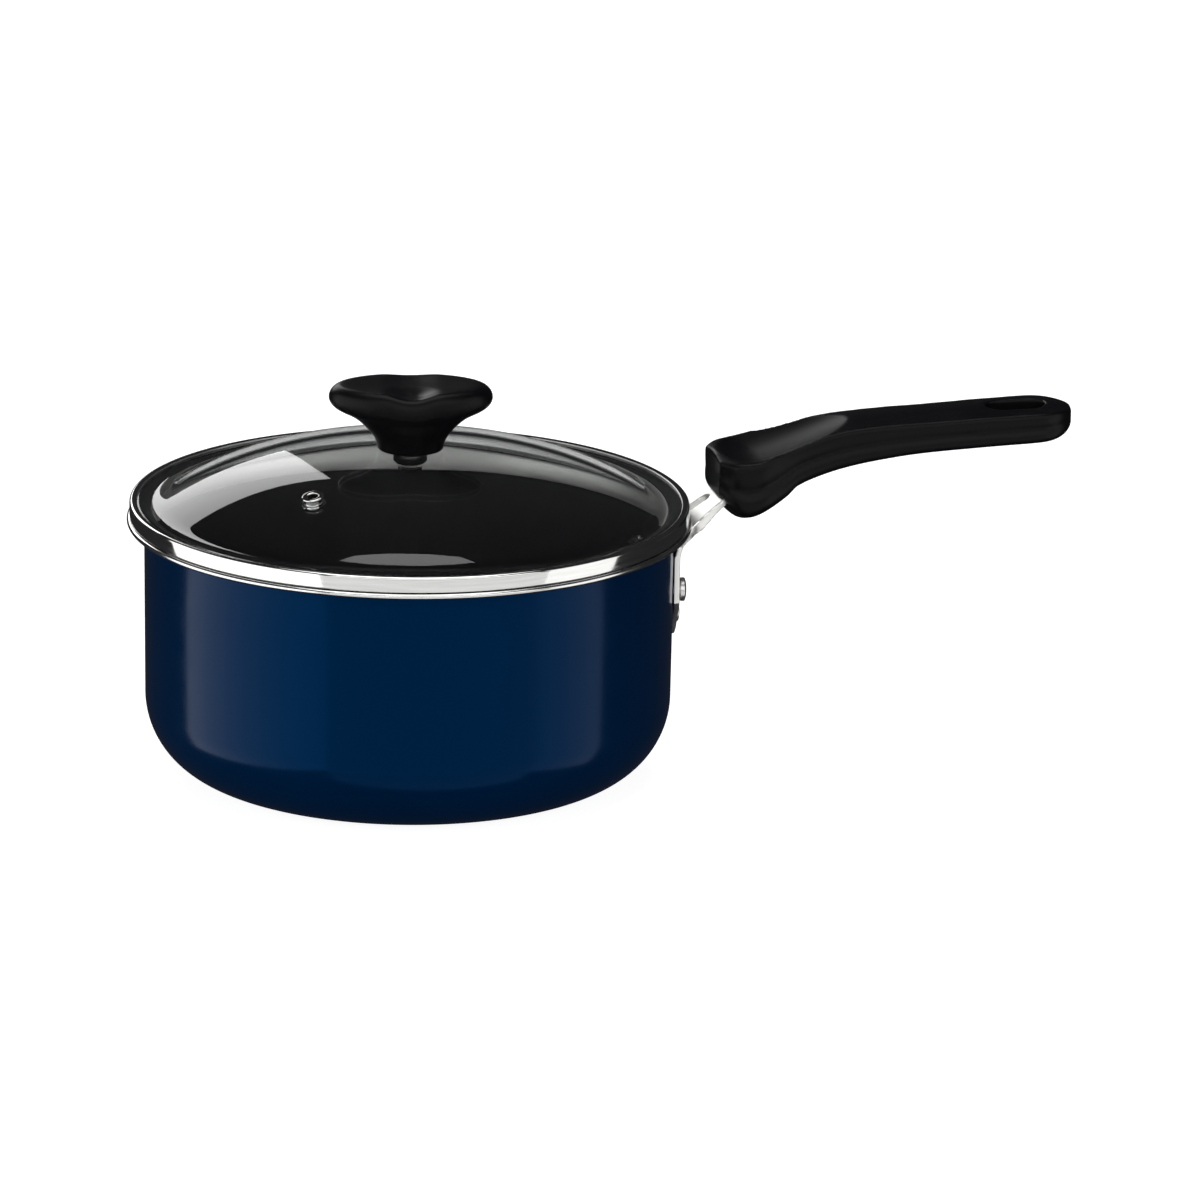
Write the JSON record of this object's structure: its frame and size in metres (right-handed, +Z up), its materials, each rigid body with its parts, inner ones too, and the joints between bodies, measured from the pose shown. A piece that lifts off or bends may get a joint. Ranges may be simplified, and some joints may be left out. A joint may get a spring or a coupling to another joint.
{
  "type": "saucepan with glass lid",
  "caption": "Round single-handled saucepan with a flared steel rim, riveted handle bracket and a lift-off domed glass lid with knob and steam vent.",
  "frame": {"origin": "centre of the pan's flat underside", "axes": "+Z up along the pan's axis, +X out along the handle"},
  "size_m": [0.3324, 0.195, 0.1376],
  "materials": {
    "enamelled_pan": "dark blue enamel outside, black non-stick inside, bare bright rim",
    "satin_metal": "satin",
    "steel": "polished stainless steel",
    "black_phenolic": "satin black",
    "black_rubber": "matt",
    "brass": "as turned",
    "clear_glass": "clear, tempered"
  },
  "bodies": {
    "pan": {"pan_body": "enamelled_pan", "handle_bracket": "satin_metal", "rivet_upper_near": "satin_metal", "rivet_upper_far": "satin_metal", "rivet_lower": "satin_metal", "handle_grip": "black_phenolic", "handle_screw": "steel", "handle_washer": "steel", "handle_nut": "steel"},
    "lid": {"lid_glass": "clear_glass", "lid_band": "steel", "lid_seal": "black_rubber", "vent_eyelet": "steel", "vent_washer": "steel", "lid_knob": "black_phenolic", "knob_insert": "brass", "knob_grommet": "black_rubber", "knob_washer": "steel", "knob_screw": "steel"}
  },
  "joints": [
    {"name": "lid_lift", "type": "slide", "parent": "pan", "child": "lid", "axis": [0, 0, 1], "range_m": [0, 0.08]}
  ]
}
